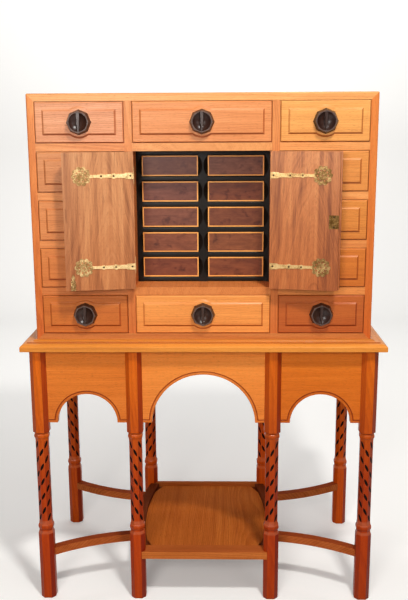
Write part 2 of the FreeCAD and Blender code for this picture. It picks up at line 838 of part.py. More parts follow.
def moulding():
    """Four strips round the foot of the case."""
    long_strip = moulding_strip(case_width)
    short_strip = moulding_strip(case_depth)
    middle = case_depth / 2
    return [
        long_strip,
        moved(turned(long_strip, 180, 0, 0), 0, case_depth, 0),
        moved(turned(short_strip, -90, 0, 0), -half_case, middle, 0),
        moved(turned(short_strip, 90, 0, 0), half_case, middle, 0),
    ]


def leg_outline(width, chamfer, z):
    """A square section with cut corners."""
    half = width / 2
    flat = half - chamfer
    corners = [(half, -flat), (half, flat), (flat, half), (-flat, half),
               (-half, flat), (-half, -flat), (-flat, -half), (flat, -half)]
    points = [FreeCAD.Vector(x, y, z) for x, y in corners]
    return Part.makePolygon(points + points[:1])


def even_chamfer(width):
    """Corner cut that makes all eight sides of a section alike."""
    return width / (2 + math.sqrt(2))


def bead_levels(low, height, neck, width):
    """Widths up the side of a rounded ring."""
    levels = []
    for step in range(bead_steps + 1):
        angle = math.pi * step / bead_steps
        level = low + height * (1 - math.cos(angle)) / 2
        levels.append((level, neck + (width - neck) * math.sin(angle)))
    return levels


def leg_wood():
    """A whole leg on its own axis, from the foot to the board."""
    shoulder = lower_block_height + block_shoulder_height
    ring = shoulder + lower_neck_height
    flare = ring + ring_height
    shaft = flare + flare_height
    shaft_top = shaft + shaft_height
    bead = shaft_top + cavetto_height
    neck = bead + bead_height
    block_foot = neck + upper_neck_height
    eased = lower_block - 2 * foot_ease
    outlines = [
        leg_outline(eased, lower_chamfer - foot_ease, 0),
        leg_outline(lower_block, lower_chamfer, foot_ease),
        leg_outline(lower_block, lower_chamfer, lower_block_height),
        leg_outline(lower_neck_width, even_chamfer(lower_neck_width), shoulder),
    ]
    for level, width in bead_levels(ring, ring_height, lower_neck_width, ring_width):
        outlines.append(leg_outline(width, even_chamfer(width), level))
    outlines.append(leg_outline(shaft_width, even_chamfer(shaft_width), shaft))
    outlines.append(leg_outline(shaft_width, even_chamfer(shaft_width), shaft_top))
    for level, width in bead_levels(bead, bead_height, cavetto_width, bead_width):
        outlines.append(leg_outline(width, even_chamfer(width), level))
    outlines.append(leg_outline(upper_neck_width, even_chamfer(upper_neck_width), block_foot))
    outlines.append(leg_outline(upper_block, upper_chamfer, block_foot + upper_neck_height))
    outlines.append(leg_outline(upper_block, upper_chamfer, leg_height))
    return Part.makeLoft(outlines, True, True), shaft


def leg_dashes(shaft_foot, hand):
    """Slanting dashes with narrow ends on all eight sides of a shaft, staggered from side to side."""
    pitch = (shaft_height - dash_height) / (dash_rows - 1)
    face = shaft_width / 2
    widths = [(0, dash_end_width), (dash_shoulder, dash_width), (1 - dash_shoulder, dash_width),
              (1, dash_end_width)]
    dashes = []
    for side in range(8):
        shift = (side + 1) % 2
        for row in range(dash_rows - shift):
            low = shaft_foot + pitch * (row + shift / 2)
            outline = []
            for edge, steps in ((-1, widths), (1, widths[::-1])):
                for share, width in steps:
                    across = hand * dash_lean * (share - 0.5) + edge * width / 2
                    outline.append(FreeCAD.Vector(face - dash_depth, across, low + share * dash_height))
            dash = profile_prism(outline, FreeCAD.Vector(dash_depth, 0, 0))
            dashes.append(turned(dash, side * 45, 0, 0))
    return dashes


def legs():
    """Four front legs, four back legs and the dashes in them."""
    wood, shaft_foot = leg_wood()
    inlaid = {}
    for hand in (-1, 1):
        dashes = leg_dashes(shaft_foot, hand)
        inlaid[hand] = (wood.cut(Part.makeCompound(dashes)), dashes)
    places = (-outer_leg_place, -inner_leg_place, inner_leg_place, outer_leg_place)
    rows = []
    inlay = []
    for y, hands in ((0, front_leg_hands), (case_depth, back_leg_hands)):
        row = []
        for x, hand in zip(places, hands):
            body, dashes = inlaid[hand]
            row.append(moved(body, x, y, 0))
            inlay += [moved(dash, x, y, 0) for dash in dashes]
        rows.append(row)
    return rows[0], rows[1], inlay


def band_outline(length, centre, radius, width):
    """What lies within a distance of the arch and of the lower edge, as a long solid."""
    high = apron_bottom + width
    low = apron_bottom - overrun
    strip = block(-length / 2, length / 2, -half_case, half_case, low, high)
    return strip.fuse(disc(0, centre, radius + width, -half_case, half_case))


def apron(length, land, rise):
    """An arched board centred on x = 0, with a sunk band along its lower edge in front."""
    half = length / 2
    face = -apron_thickness / 2
    board = block(-half, half, face, -face, apron_bottom, leg_height)
    span = half - land
    radius = (span ** 2 + rise ** 2) / (2 * rise)
    centre = apron_bottom + rise - radius
    arch = disc(0, centre, radius, face - overrun, -face + overrun)
    band = band_outline(length, centre, radius, band_width)
    inner = band_outline(length, centre, radius, band_width - band_groove_width)
    sunk = band.common(block(-half, half, face - overrun, face + band_step, 0, leg_height))
    groove_floor = face + band_groove_depth
    groove = band.cut(inner).common(block(-half, half, face - overrun, groove_floor, 0, leg_height))
    return board.cut([arch, sunk, groove])


def aprons():
    """Arched boards between the leg tops, at the front, the back and both sides."""
    outer_length = outer_leg_place - inner_leg_place - upper_block
    centre_length = 2 * inner_leg_place - upper_block
    outer_x = (outer_leg_place + inner_leg_place) / 2
    outer = apron(outer_length, apron_land, outer_arch_rise)
    centre = apron(centre_length, apron_land, wide_arch_rise)
    front = [moved(outer, -outer_x, 0, 0), centre, moved(outer, outer_x, 0, 0)]
    back = [moved(turned(board, 180, 0, 0), 0, case_depth, 0) for board in front]
    side = apron(case_depth - upper_block, side_apron_land, wide_arch_rise)
    sides = [moved(turned(side, -90, 0, 0), -outer_leg_place, case_depth / 2, 0),
             moved(turned(side, 90, 0, 0), outer_leg_place, case_depth / 2, 0)]
    return front, back, sides


def lower_frame(front_legs, back_legs):
    """Shelf with its rails between the inner legs, and the stretchers to the outer legs."""
    low = stretcher_bottom
    high = stretcher_top
    near = lower_block / 2
    far = case_depth - near
    rail_reach = near - shelf_rail_setback
    front_rail = block(-inner_leg_place, inner_leg_place, -rail_reach, near, low, high)
    back_rail = block(-inner_leg_place, inner_leg_place, far, far + shelf_back_rail_depth, low, high)
    front_rail = front_rail.cut(front_legs[1:3])
    back_rail = back_rail.cut(back_legs[1:3])
    rail_x = inner_leg_place - shelf_side_rail_inset
    start = (-rail_x, near)
    end = (-rail_x, far)
    side_rail = arc_band(start, end, shelf_side_rail_bow, shelf_side_rail_width, low, high)
    square_ends = block(-half_case, 0, near, far, low, high)
    side_rail = side_rail.common(square_ends)
    centre, radius, outward = chord_circle(start, end, shelf_side_rail_bow)
    panel_high = high - shelf_panel_sink
    panel_low = panel_high - shelf_panel_thickness
    panel = block(-inner_leg_place, inner_leg_place, near, far, panel_low, panel_high)
    inner_radius = radius - shelf_side_rail_width / 2
    for hand in (1, -1):
        base = FreeCAD.Vector(hand * centre[0], centre[1], panel_low)
        panel = panel.common(Part.makeCylinder(inner_radius, shelf_panel_thickness, base))
    corner_x = rail_x - shelf_side_rail_width / 2
    clip_x, clip_y = shelf_corner_clip
    corners = []
    for hand_x in (-1, 1):
        for y, hand_y in ((near, 1), (far, -1)):
            clip = plan_prism([(hand_x * (corner_x - clip_x), y),
                               (hand_x * (corner_x + clip_x), y),
                               (hand_x * (corner_x + clip_x), y + 2 * hand_y * clip_y)],
                              panel_low, panel_high)
            corner = panel.common(clip)
            corners.append(corner.common(block(-half_case, half_case, near, far, panel_low,
                                               panel_high - shelf_corner_drop)))
            panel = panel.cut(clip)
    shelf = [front_rail, back_rail, side_rail, mirrored(side_rail), panel] + corners
    reach_x = centre[0] - math.sqrt(radius ** 2 - (stretcher_reach - centre[1]) ** 2)
    bar = arc_band((-outer_leg_place, 0), (reach_x, stretcher_reach), stretcher_bow,
                   stretcher_width, low, high)
    front_left = bar.cut([front_legs[0], side_rail])
    back_right = turned(front_left, 180, 0, case_depth / 2)
    stretchers = [front_left, mirrored(front_left), back_right, mirrored(back_right)]
    return stretchers, shelf


def cabinet():
    """All pieces by name, in the frame whose front face of the case is y = 0."""
    found = doors()
    sides, top_and_bottom, back = case_boards()
    inner, leaves = dividers()
    front_legs, back_legs, inlay = legs()
    front_apron, back_apron, side_aprons = aprons()
    stretchers, shelf = lower_frame(front_legs, back_legs)
    found["case_sides"] = sides
    found["case_top_and_bottom"] = top_and_bottom
    found["case_back"] = back
    found["case_dividers"] = inner
    found["hinge_leaves"] = leaves
    found["nest_frame"] = nest_front()
    found["nest_boards"] = nest_inner_boards()
    found["stand_top"] = [stand_board()]
    found["base_moulding"] = moulding()
    found["front_legs"] = front_legs
    found["back_legs"] = back_legs
    found["leg_inlay"] = inlay
    found["front_apron"] = front_apron
    found["back_apron"] = back_apron
    found["side_aprons"] = side_aprons
    found["stretchers"] = stretchers
    found["lower_shelf"] = shelf
    for row in range(1, row_count + 1):
        left = small_drawer(row)
        found["small_drawer_left_%d" % row] = left
        found["small_drawer_right_%d" % row] = [mirrored(piece) for piece in left]
        columns = {"left": (-inner_side, -partition_outer), "right": (partition_outer, inner_side)}
        if row in (1, row_count):
            columns["middle"] = (-half_centre, half_centre)
        for column, (x0, x1) in columns.items():
            drawer, handle = large_drawer(x0, x1, row_floor(row))
            found["drawer_%s_%d" % (column, row)] = drawer
            found["pull_%s_%d" % (column, row)] = handle
    return found


pieces = cabinet()
nearest = min(corner.Y for name in ("left_door", "right_door", "door_bolt_plate")
              for solid in pieces[name] for corner in solid.Vertexes)
furthest = case_depth + top_overhang
frame_y = -(nearest + furthest) / 2

os.makedirs("parts", exist_ok=True)
for name, solids in sorted(pieces.items()):
    shape = Part.makeCompound([moved(solid, 0, frame_y, 0) for solid in solids])
    shape.exportStep("parts/%s.step" % name)
print(len(pieces), "pieces, case front at y", round(frame_y, 4))
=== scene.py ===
"""Looks of the vargueno cabinet: finishes, softened edges, inlay lines, studio and camera.

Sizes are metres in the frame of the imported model, where +Z is up and the front looks towards -Y.
"""

import collections
import math
import random

import bmesh
import bpy
import numpy as np
from mathutils import Matrix, Vector


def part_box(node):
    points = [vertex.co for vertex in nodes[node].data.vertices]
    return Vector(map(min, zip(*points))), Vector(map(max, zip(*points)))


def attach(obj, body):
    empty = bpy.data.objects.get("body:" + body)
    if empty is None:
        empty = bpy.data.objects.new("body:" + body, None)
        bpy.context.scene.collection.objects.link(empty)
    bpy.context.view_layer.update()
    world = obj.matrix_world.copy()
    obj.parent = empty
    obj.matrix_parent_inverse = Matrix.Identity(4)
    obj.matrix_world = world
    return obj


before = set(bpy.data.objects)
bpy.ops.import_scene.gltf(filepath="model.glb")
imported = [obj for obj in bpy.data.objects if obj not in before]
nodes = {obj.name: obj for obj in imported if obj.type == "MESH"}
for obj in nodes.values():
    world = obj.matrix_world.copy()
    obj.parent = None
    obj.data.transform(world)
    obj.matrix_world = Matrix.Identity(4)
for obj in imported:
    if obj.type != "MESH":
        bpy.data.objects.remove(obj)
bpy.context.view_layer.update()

large_drawers = sorted(name for name in nodes if name.startswith("drawer_"))
small_drawers = sorted(name for name in nodes if name.startswith("small_drawer_"))
pulls = sorted(name for name in nodes if name.startswith("pull_"))
white = (1.0, 1.0, 1.0)

# Boards
# A node's mesh holds its solids one after another, each closed in itself. What a material needs
# to know about each board is kept as attributes of the mesh, which leave its vertices alone.

weld_places = 6
direction_places = 2
least_in_plane = 0.5
clear_lead = 1e-4
shift_step = 2.0
shift_side = 8
seed_reach = 4.0
tone_reach = 0.5
ring_angles = (52, 84)
heart_distances = (0.12, 0.32)
flat_heart_sideways = 0.3
flat_heart_depths = (0.05, 0.09)


def corner_places(mesh):
    places = np.zeros(len(mesh.vertices) * 3, np.float32)
    mesh.vertices.foreach_get("co", places)
    return places.reshape(-1, 3)


def solids_of(mesh):
    """The face numbers of each closed solid, in the order of the mesh."""
    rounded = np.round(corner_places(mesh), weld_places)
    same = np.unique(rounded, axis=0, return_inverse=True)[1].ravel()
    found = []
    faces = []
    waiting = collections.Counter()
    for face in mesh.polygons:
        faces.append(face.index)
        corners = [int(same[i]) for i in face.vertices]
        for a, b in zip(corners, corners[1:] + corners[:1]):
            if a == b:
                continue
            if waiting[(b, a)] == 1:
                del waiting[(b, a)]
            elif waiting[(b, a)] > 1:
                waiting[(b, a)] -= 1
            else:
                waiting[(a, b)] += 1
        if not waiting:
            found.append(faces)
            faces = []
    if faces:
        found.append(faces)
    return found


def widest_normal(mesh, faces):
    """The direction that most of a solid's surface faces."""
    areas = {}
    for i in faces:
        normal = mesh.polygons[i].normal
        lead = max(range(3), key=lambda axis: abs(normal[axis]))
        if normal[lead] < 0:
            normal = -normal
        key = tuple(round(value, direction_places) for value in normal)
        total, _ = areas.get(key, (0.0, None))
        areas[key] = (total + mesh.polygons[i].area, Vector(normal))
    return max(areas.values(), key=lambda entry: entry[0])[1]


def longest_direction(places, outward):
    """The direction in the board's plane that it reaches furthest in. It comes from the upright,
    sideways or front-to-back direction."""
    best = None
    for axis in (Vector((0, 0, 1)), Vector((1, 0, 0)), Vector((0, 1, 0))):
        flat = axis - outward * axis.dot(outward)
        if flat.length < least_in_plane:
            continue
        flat.normalize()
        reach = float(np.ptp(places @ np.array(flat)))
        if best is None or reach > best[0] + clear_lead:
            best = (reach, flat)
    return best[1]


class Board:
    """One solid of a node: where it is, how its grain runs and how its tree stood."""

    def __init__(self, mesh, faces, index):
        self.index = index
        self.vertices = sorted({v for i in faces for v in mesh.polygons[i].vertices})
        places = corner_places(mesh)[self.vertices].astype(float)
        self.low = Vector(places.min(0))
        self.high = Vector(places.max(0))
        self.centre = (self.low + self.high) / 2
        self.size = self.high - self.low
        self.outward = widest_normal(mesh, faces)
        self.along = longest_direction(places, self.outward)

    def local(self, place):
        """A place given along the grain, out of the face and across both."""
        across = self.along.cross(self.outward)
        return Vector((place.dot(self.along), place.dot(self.outward), place.dot(across)))


def straight_heart(board, draw):
    """A tree whose rings cross the face as long straight lines."""
    angle = math.radians(draw.uniform(*ring_angles)) * draw.choice((-1, 1))
    distance = draw.uniform(*heart_distances)
    away = Vector((0, -math.cos(angle) * distance, math.sin(angle) * distance))
    return board.local(board.centre) + away


def flat_heart(board, draw):
    """A tree that lies behind the face, so that its rings show as arches."""
    share = draw.uniform(-flat_heart_sideways, flat_heart_sideways)
    sideways = share * min(board.size.x, board.size.z)
    depth = draw.uniform(*flat_heart_depths)
    return board.local(board.centre) + Vector((0, -depth, sideways))


def chance_tone(_board, draw):
    return draw.uniform(-tone_reach, tone_reach)


def write_attribute(mesh, name, kind, values):
    made = mesh.attributes.new(name, kind, "POINT")
    field = "value" if kind == "FLOAT" else "vector"
    made.data.foreach_set(field, values.astype(np.float32).ravel())


def mark_boards(obj, heart=straight_heart, tone=chance_tone, face_part=None, mark=None,
                tint=None):
    """Writes what the materials read about each board. heart and tone are functions of a board
    and of the node's random numbers, face_part and tint are functions of a board, and mark is
    a function of a board and one of its faces."""
    mesh = obj.data
    draw = random.Random(obj.name)
    count = len(mesh.vertices)
    vectors = {key: np.zeros((count, 3)) for key in
               ("grain_along", "grain_outward", "tree_heart", "board_seed", "board_tint",
                "solid_shift")}
    numbers = {key: np.zeros(count) for key in ("board_tone", "face_part")}
    face_marks = np.zeros(len(mesh.polygons), np.float32)
    for i, faces in enumerate(solids_of(mesh)):
        board = Board(mesh, faces, i)
        at = board.vertices
        vectors["grain_along"][at] = board.along
        vectors["grain_outward"][at] = board.outward
        vectors["tree_heart"][at] = heart(board, draw)
        vectors["board_seed"][at] = [draw.uniform(-seed_reach, seed_reach) for _ in range(3)]
        vectors["solid_shift"][at] = (shift_step * (i % shift_side),
                                      shift_step * (i // shift_side % shift_side),
                                      shift_step * (i // shift_side ** 2))
        vectors["board_tint"][at] = tint(board) if tint else white
        numbers["board_tone"][at] = tone(board, draw)
        numbers["face_part"][at] = face_part(board) if face_part else 1.0
        if mark:
            for face in faces:
                face_marks[face] = mark(board, mesh.polygons[face])
    for key, values in vectors.items():
        write_attribute(mesh, key, "FLOAT_VECTOR", values)
    for key, values in numbers.items():
        write_attribute(mesh, key, "FLOAT", values)
    mesh.attributes.new("face_mark", "FLOAT", "FACE").data.foreach_set("value", face_marks)


# Marks of faces
# A mark goes from 0 for a plain face to 1 for a dark one, darkened by dirt and by painted shade, or
# on a pull for a face painted pale. Below 0 a face is polished and painted lighter, a painted
# highlight. The sets of three numbers are a mark, what it gains upwards and what it gains to the
# right: painted shade, heaviest on faces that look down or to the right.

wide_side = 0.97
edge_side = 0.2
# Dirt and painted shade on the edges and bevels of fronts: the marks grow on faces that look down
# or to the right.
side_face_dirt_and_shade = (0.65, -0.35, 0.20)
sloped_face_dirt_and_shade = (0.50, -0.62, 0.20)

surface_depth = 0.0003
band_depth = 0.0010
arch_groove_depth = 0.0030
sunk_band_darkening = 0.30

level_end = 0.98
ring_top = 0.8
ring_underside = -0.3
ring_shoulder = 0.1
upright_side = 0.02
cut_corner = 0.6
ring_neck_shade = 0.8
shaft_piece_area = 0.0004
shaft_corner_shade = {"left": 0.30, "right": 0.45}
block_corner_shade = {"left": 0.35, "right": 0.90}

looks_up = 0.9
stretcher_top_dark = 0.75
shelf_rail_top_dark = 0.45
shelf_rail_length = 0.2
shelf_rail_width = 0.1

edge_groove_start = 0.0001
edge_groove_end = 0.0033
edge_groove_side = 0.8

looks_forward = -0.95
blade_depth = 0.0010
blade_rubbed_and_sheen = 0.10


def depth_of(board, face):
    """How far a face lies below the board's nearer wide side."""
    at = face.center.dot(board.outward)
    return min(at - board.low.dot(board.outward), board.high.dot(board.outward) - at)


def mark_by_direction(face, darkening):
    start, upwards, rightwards = darkening
    return start + upwards * face.normal.z + rightwards * face.normal.x


def front_dirt_and_painted_shade(board, face):
    """Dirt and dark polish settle on the bevels and edges of a front, and painted shade makes them
    darkest underneath and at the right.
    """
    facing = abs(face.normal.dot(board.outward))
    if board.index > 0 or facing > wide_side:
        return 0.0
    return mark_by_direction(face, side_face_dirt_and_shade if facing < edge_side else sloped_face_dirt_and_shade)


def apron_band_darkening_and_groove_shade(board, face):
    """The sunk band along an arch is a little darker, and the groove beside it is painted dark as
    its shade.
    """
    depth = depth_of(board, face)
    if depth < surface_depth or depth > arch_groove_depth:
        return 0.0
    return sunk_band_darkening if depth < band_depth else 1.0


def leg_painted_shade_and_highlight(_board, face):
    """Painted shade: the faces of the rings that look up or down are dark, and so, a little, are
    the cut corners, more so at the right. The shoulders of the rings are polished and painted
    lighter, a painted highlight."""
    sideways, forwards, upwards = face.normal
    if abs(upwards) > level_end:
        return 0.0
    if upwards > ring_top or upwards < ring_underside:
        return ring_neck_shade
    if abs(upwards) > upright_side:
        return -1.0 if upwards > ring_shoulder else 0.0
    if min(abs(sideways), abs(forwards)) < cut_corner:
        return 0.0
    darkening = shaft_corner_shade if face.area < shaft_piece_area else block_corner_shade
    return darkening["right"] if sideways > 0 else darkening["left"]


def stretcher_top_darkening(_board, face):
    """The tops of the stretchers are darker."""
    return stretcher_top_dark if face.normal.z > looks_up else 0.0


def is_shelf_rail(board):
    """Whether a board of the shelf is its front or back rail."""
    return board.size.x > shelf_rail_length and board.size.y < shelf_rail_width


def shelf_rail_top_darkening(board, face):
    """The top of the front rail is darker."""
    front_rail = is_shelf_rail(board) and board.centre.y < 0
    return shelf_rail_top_dark if front_rail and face.normal.z > looks_up else 0.0


def board_groove_shade(board, face):
    """Painted shade: the thin groove round the board is dark."""
    below = board.high.z - face.center.z
    in_groove = edge_groove_start < below < edge_groove_end
    return 1.0 if in_groove and abs(face.normal.z) < edge_groove_side else 0.0


def rubbed_and_sheen_rim(board, face):
    """The flat ring round the bowl of a pull is painted pale, partly as rubbing and partly as a
    painted sheen, and the front of its blade a little.
    """
    if face.normal.y > looks_forward:
        return 0.0
    depth = face.center.y - board.low.y
    if depth < surface_depth:
        return 1.0
    return blade_rubbed_and_sheen if depth < blade_depth else 0.0


# Softened edges

sharp_angle = math.radians(32)
flat_angle = math.radians(0.3)
weld_distance = 2e-5
edge_segments = 2


def joined_solids_group():
    """Geometry nodes that join each solid's loose faces without joining solids that touch."""
    group = bpy.data.node_groups.new("joined_solids", "GeometryNodeTree")
    group.interface.new_socket("Geometry", in_out="INPUT", socket_type="NodeSocketGeometry")
    group.interface.new_socket("Geometry", in_out="OUTPUT", socket_type="NodeSocketGeometry")
    make = group.nodes.new
    link = group.links.new
    start = make("NodeGroupInput")
    end = make("NodeGroupOutput")
    shift = make("GeometryNodeInputNamedAttribute")
    shift.data_type = "FLOAT_VECTOR"
    shift.inputs["Name"].default_value = "solid_shift"
    back = make("ShaderNodeVectorMath")
    back.operation = "SCALE"
    back.inputs["Scale"].default_value = -1.0
    apart = make("GeometryNodeSetPosition")
    merge = make("GeometryNodeMergeByDistance")
    merge.inputs["Distance"].default_value = weld_distance
    together = make("GeometryNodeSetPosition")
    angle = make("GeometryNodeInputMeshEdgeAngle")
    sharp = make("FunctionNodeCompare")
    sharp.operation = "GREATER_THAN"
    sharp.inputs["B"].default_value = sharp_angle
    shade = make("GeometryNodeSetMeshNormal")
    shade.mode = "SHARPNESS"
    shade.inputs["Remove Custom"].default_value = True
    shade.inputs["Face Sharpness"].default_value = False
    link(start.outputs["Geometry"], apart.inputs["Geometry"])
    link(shift.outputs["Attribute"], apart.inputs["Offset"])
    link(apart.outputs["Geometry"], merge.inputs["Geometry"])
    link(merge.outputs["Geometry"], together.inputs["Geometry"])
    link(shift.outputs["Attribute"], back.inputs[0])
    link(back.outputs["Vector"], together.inputs["Offset"])
    link(together.outputs["Geometry"], shade.inputs["Mesh"])
    link(angle.outputs["Unsigned Angle"], sharp.inputs["A"])
    link(sharp.outputs["Result"], shade.inputs["Edge Sharpness"])
    link(shade.outputs["Mesh"], end.inputs["Geometry"])
    return group


joined_solids = joined_solids_group()


def soften(obj, width, pockets=False):
    """Rounds the edges of every solid of an object. Faces with pockets in them stay divided."""
    join = obj.modifiers.new("join_solids", "NODES")
    join.node_group = joined_solids
    if not pockets:
        flat = obj.modifiers.new("flat_faces", "DECIMATE")
        flat.decimate_type = "DISSOLVE"
        flat.angle_limit = flat_angle
    bevel = obj.modifiers.new("soft_edges", "BEVEL")
    bevel.width = width
    bevel.segments = edge_segments
    bevel.limit_method = "ANGLE"
    bevel.angle_limit = sharp_angle
    bevel.harden_normals = True
    bevel.use_clamp_overlap = True
    bevel.miter_outer = "MITER_ARC"


# Materials

shader_inputs = {"coat": "Coat Weight", "coat_roughness": "Coat Roughness",
                 "shine": "Specular IOR Level", "metallic": "Metallic"}
mix_colour_a = 6
mix_colour_b = 7
mix_colour_result = 2
usual_span = (0.3, 0.7)
wide_span = (0.25, 0.75)


class Surface:
    """A material while its nodes are put together."""

    def __init__(self, name, **shader_values):
        self.material = bpy.data.materials.new(name)
        self.material.use_nodes = True
        self.tree = self.material.node_tree
        self.shader = self.tree.nodes["Principled BSDF"]
        for key, value in shader_values.items():
            self.shader.inputs[shader_inputs[key]].default_value = value
        self.kept = {}

    def add(self, kind, inputs, **settings):
        """A new node. inputs maps a socket's name or number to a value or another output."""
        node = self.tree.nodes.new(kind)
        for key, value in settings.items():
            setattr(node, key, value)
        for key, value in inputs.items():
            self.put(node.inputs[key], value)
        return node

    def put(self, socket, value):
        if isinstance(value, bpy.types.NodeSocket):
            self.tree.links.new(value, socket)
        else:
            socket.default_value = value

    def place(self):
        """Where a point of the surface lies on the object."""
        if "place" not in self.kept:
            self.kept["place"] = self.add("ShaderNodeTexCoord", {}).outputs["Object"]
        return self.kept["place"]

    def mark(self, name, output="Vector"):
        """What mark_boards wrote about the board."""
        if name not in self.kept:
            self.kept[name] = self.add("ShaderNodeAttribute", {}, attribute_name=name)
        return self.kept[name].outputs[output]

    def math(self, operation, *values):
        return self.add("ShaderNodeMath", dict(enumerate(values)), operation=operation).outputs[0]

    def total(self, *parts):
        """The sum of several values, each times its share."""
        value, share = parts[0]
        result = self.math("MULTIPLY", value, share)
        for value, share in parts[1:]:
            result = self.math("MULTIPLY_ADD", value, share, result)
        return result

    def vector(self, operation, *values, output="Vector"):
        node = self.add("ShaderNodeVectorMath", dict(enumerate(values)), operation=operation)
        return node.outputs[output]

    def dot(self, a, b):
        return self.vector("DOT_PRODUCT", a, b, output="Value")

    def split(self, value):
        return self.add("ShaderNodeSeparateXYZ", {0: value}).outputs

    def join(self, x, y, z):
        return self.add("ShaderNodeCombineXYZ", {0: x, 1: y, 2: z}).outputs[0]

    def noise(self, place, scale, detail, roughness, distortion=0.0, output="Fac"):
        inputs = {"Vector": place, "Scale": scale, "Detail": detail, "Roughness": roughness,
                  "Distortion": distortion}
        return self.add("ShaderNodeTexNoise", inputs).outputs[output]

    def range(self, value, low, high, to_low=0.0, to_high=1.0, smooth=False):
        kind = "SMOOTHSTEP" if smooth else "LINEAR"
        inputs = {0: value, 1: low, 2: high, 3: to_low, 4: to_high}
        return self.add("ShaderNodeMapRange", inputs, interpolation_type=kind).outputs[0]

    def mix(self, share, a, b, blend="MIX"):
        node = self.add("ShaderNodeMix", {}, data_type="RGBA", blend_type=blend)
        self.put(node.inputs["Factor"], share)
        self.put(node.inputs[mix_colour_a], colour(a))
        self.put(node.inputs[mix_colour_b], colour(b))
        return node.outputs[mix_colour_result]

    def ramp(self, value, *stops):
        """A colour scale. Each stop is a place from 0 to 1 and a colour."""
        node = self.add("ShaderNodeValToRGB", {0: value})
        scale = node.color_ramp.elements
        while len(scale) < len(stops):
            scale.new(0.5)
        for element, (at, shade) in zip(scale, stops):
            element.position = at
            element.color = colour(shade)
        return node.outputs[0]

    def lumps(self, place, scale):
        """The distance to the nearest of many scattered points, with soft borders."""
        inputs = {"Vector": place, "Scale": scale}
        return self.add("ShaderNodeTexVoronoi", inputs, feature="SMOOTH_F1").outputs["Distance"]

    def bump(self, height, strength, distance, normal=None):
        inputs = {"Height": height, "Strength": strength, "Distance": distance}
        if normal is not None:
            inputs["Normal"] = normal
        return self.add("ShaderNodeBump", inputs).outputs[0]

    def finish(self, base, roughness, normal=None):
        self.put(self.shader.inputs["Base Color"], base)
        self.put(self.shader.inputs["Roughness"], roughness)
        if normal is not None:
            self.put(self.shader.inputs["Normal"], normal)
        return self.material


def colour(value):
    """Three numbers as a colour with full alpha. An output of a node passes through."""
    if isinstance(value, tuple) and len(value) == 3:
        return (*value, 1.0)
    return value


def times(shade, factor):
    return tuple(part * factor for part in shade)


ring_rise_end = 0.80
ring_fall_start = 0.84
pore_span = (0.62, 0.72)


class Grain:
    """The pattern of sawn wood at a point: rings, fibres, pores and slow changes of colour.
    The rings lie ring_gap apart. Their radius changes along the board by the share taper, and
    by up to wander slowly and ripple quickly."""

    def __init__(self, s, ring_gap, taper, wander, ripple):
        self.surface = s
        along = s.mark("grain_along")
        outward = s.mark("grain_outward")
        across = s.vector("CROSS_PRODUCT", along, outward)
        place = s.place()
        local = s.join(s.dot(place, along), s.dot(place, outward), s.dot(place, across))
        self.seeded = s.vector("ADD", local, s.mark("board_seed"))
        x, y, z = s.split(s.vector("SUBTRACT", local, s.mark("tree_heart")))[:3]

        slow = self.pattern(along=2.2, across=9.0, detail=2.0, roughness=0.45)
        quick = self.pattern(along=7.0, across=48.0, detail=3.0, roughness=0.55)
        radius = s.math("SQRT", s.math("ADD", s.math("MULTIPLY", y, y), s.math("MULTIPLY", z, z)))
        for value, share in ((x, taper), (slow, wander), (quick, ripple)):
            radius = s.math("MULTIPLY_ADD", value, share, radius)

        turns = s.math("DIVIDE", radius, ring_gap)
        part = s.math("FRACT", turns)
        rise = s.range(part, 0.0, ring_rise_end, smooth=True)
        fall = s.range(part, ring_fall_start, 1.0, smooth=True)
        self.late_wood = s.math("SUBTRACT", rise, fall)
        year_noise = {"W": turns, "Scale": 0.37, "Detail": 4.0, "Roughness": 0.66}
        years = s.add("ShaderNodeTexNoise", year_noise, noise_dimensions="1D")
        self.years = years.outputs["Fac"]
        self.fibres = self.pattern(along=9.0, across=300.0, detail=3.0, roughness=0.6)
        self.threads = self.pattern(along=30.0, across=1300.0, detail=2.0, roughness=0.6)
        pits = self.pattern(along=95.0, across=1900.0, detail=1.0, roughness=0.4)
        self.pores = s.range(pits, *pore_span, smooth=True)
        self.clouds = self.pattern(along=3.0, across=11.0, detail=3.0, roughness=0.55)
        self.ribbons = self.pattern(along=2.0, across=75.0, detail=2.0, roughness=0.5)

    def pattern(self, along, across, detail, roughness):
        """Noise that is drawn out along the grain. along and across are how fine it is."""
        place = self.surface.vector("MULTIPLY", self.seeded, (along, across, across))
        return self.surface.noise(place, 1.0, detail, roughness)

    def plain_wood(self, light, dark, fibres, rings):
        """Plain unpolished wood, as the boxes of the drawers are made of."""
        s = self.surface
        value = s.total((self.late_wood, rings), (s.range(self.fibres, *wide_span), fibres))
        return s.ramp(value, (0.0, light), (1.0, dark))


late_wood_peak = 0.9
fibre_share = 0.30
cloud_share = 0.25
value_reach = 0.46
thread_span = (0.45, 0.75)
thread_share = 0.3
thread_height = 0.35
fleck_span = (0.60, 0.74)
pore_share = 0.5
pore_shade = 0.5
pore_height = -0.8
pore_roughness = 0.2
roughness_below = 0.05
roughness_above = 0.07
light_tone_share = 0.5
edge_ribbon = 0.05
# The colour of dirt and painted shade on marked faces, and of the painted highlight on the
# shoulders of the rings.
dirt_and_shade_colour = (0.50, 0.28, 0.19)
crown_highlight_colour = (0.90, 0.42, 0.22)
crown_highlight_share = 0.10
crown_polish = -0.22
wood_coat_roughness = 0.22


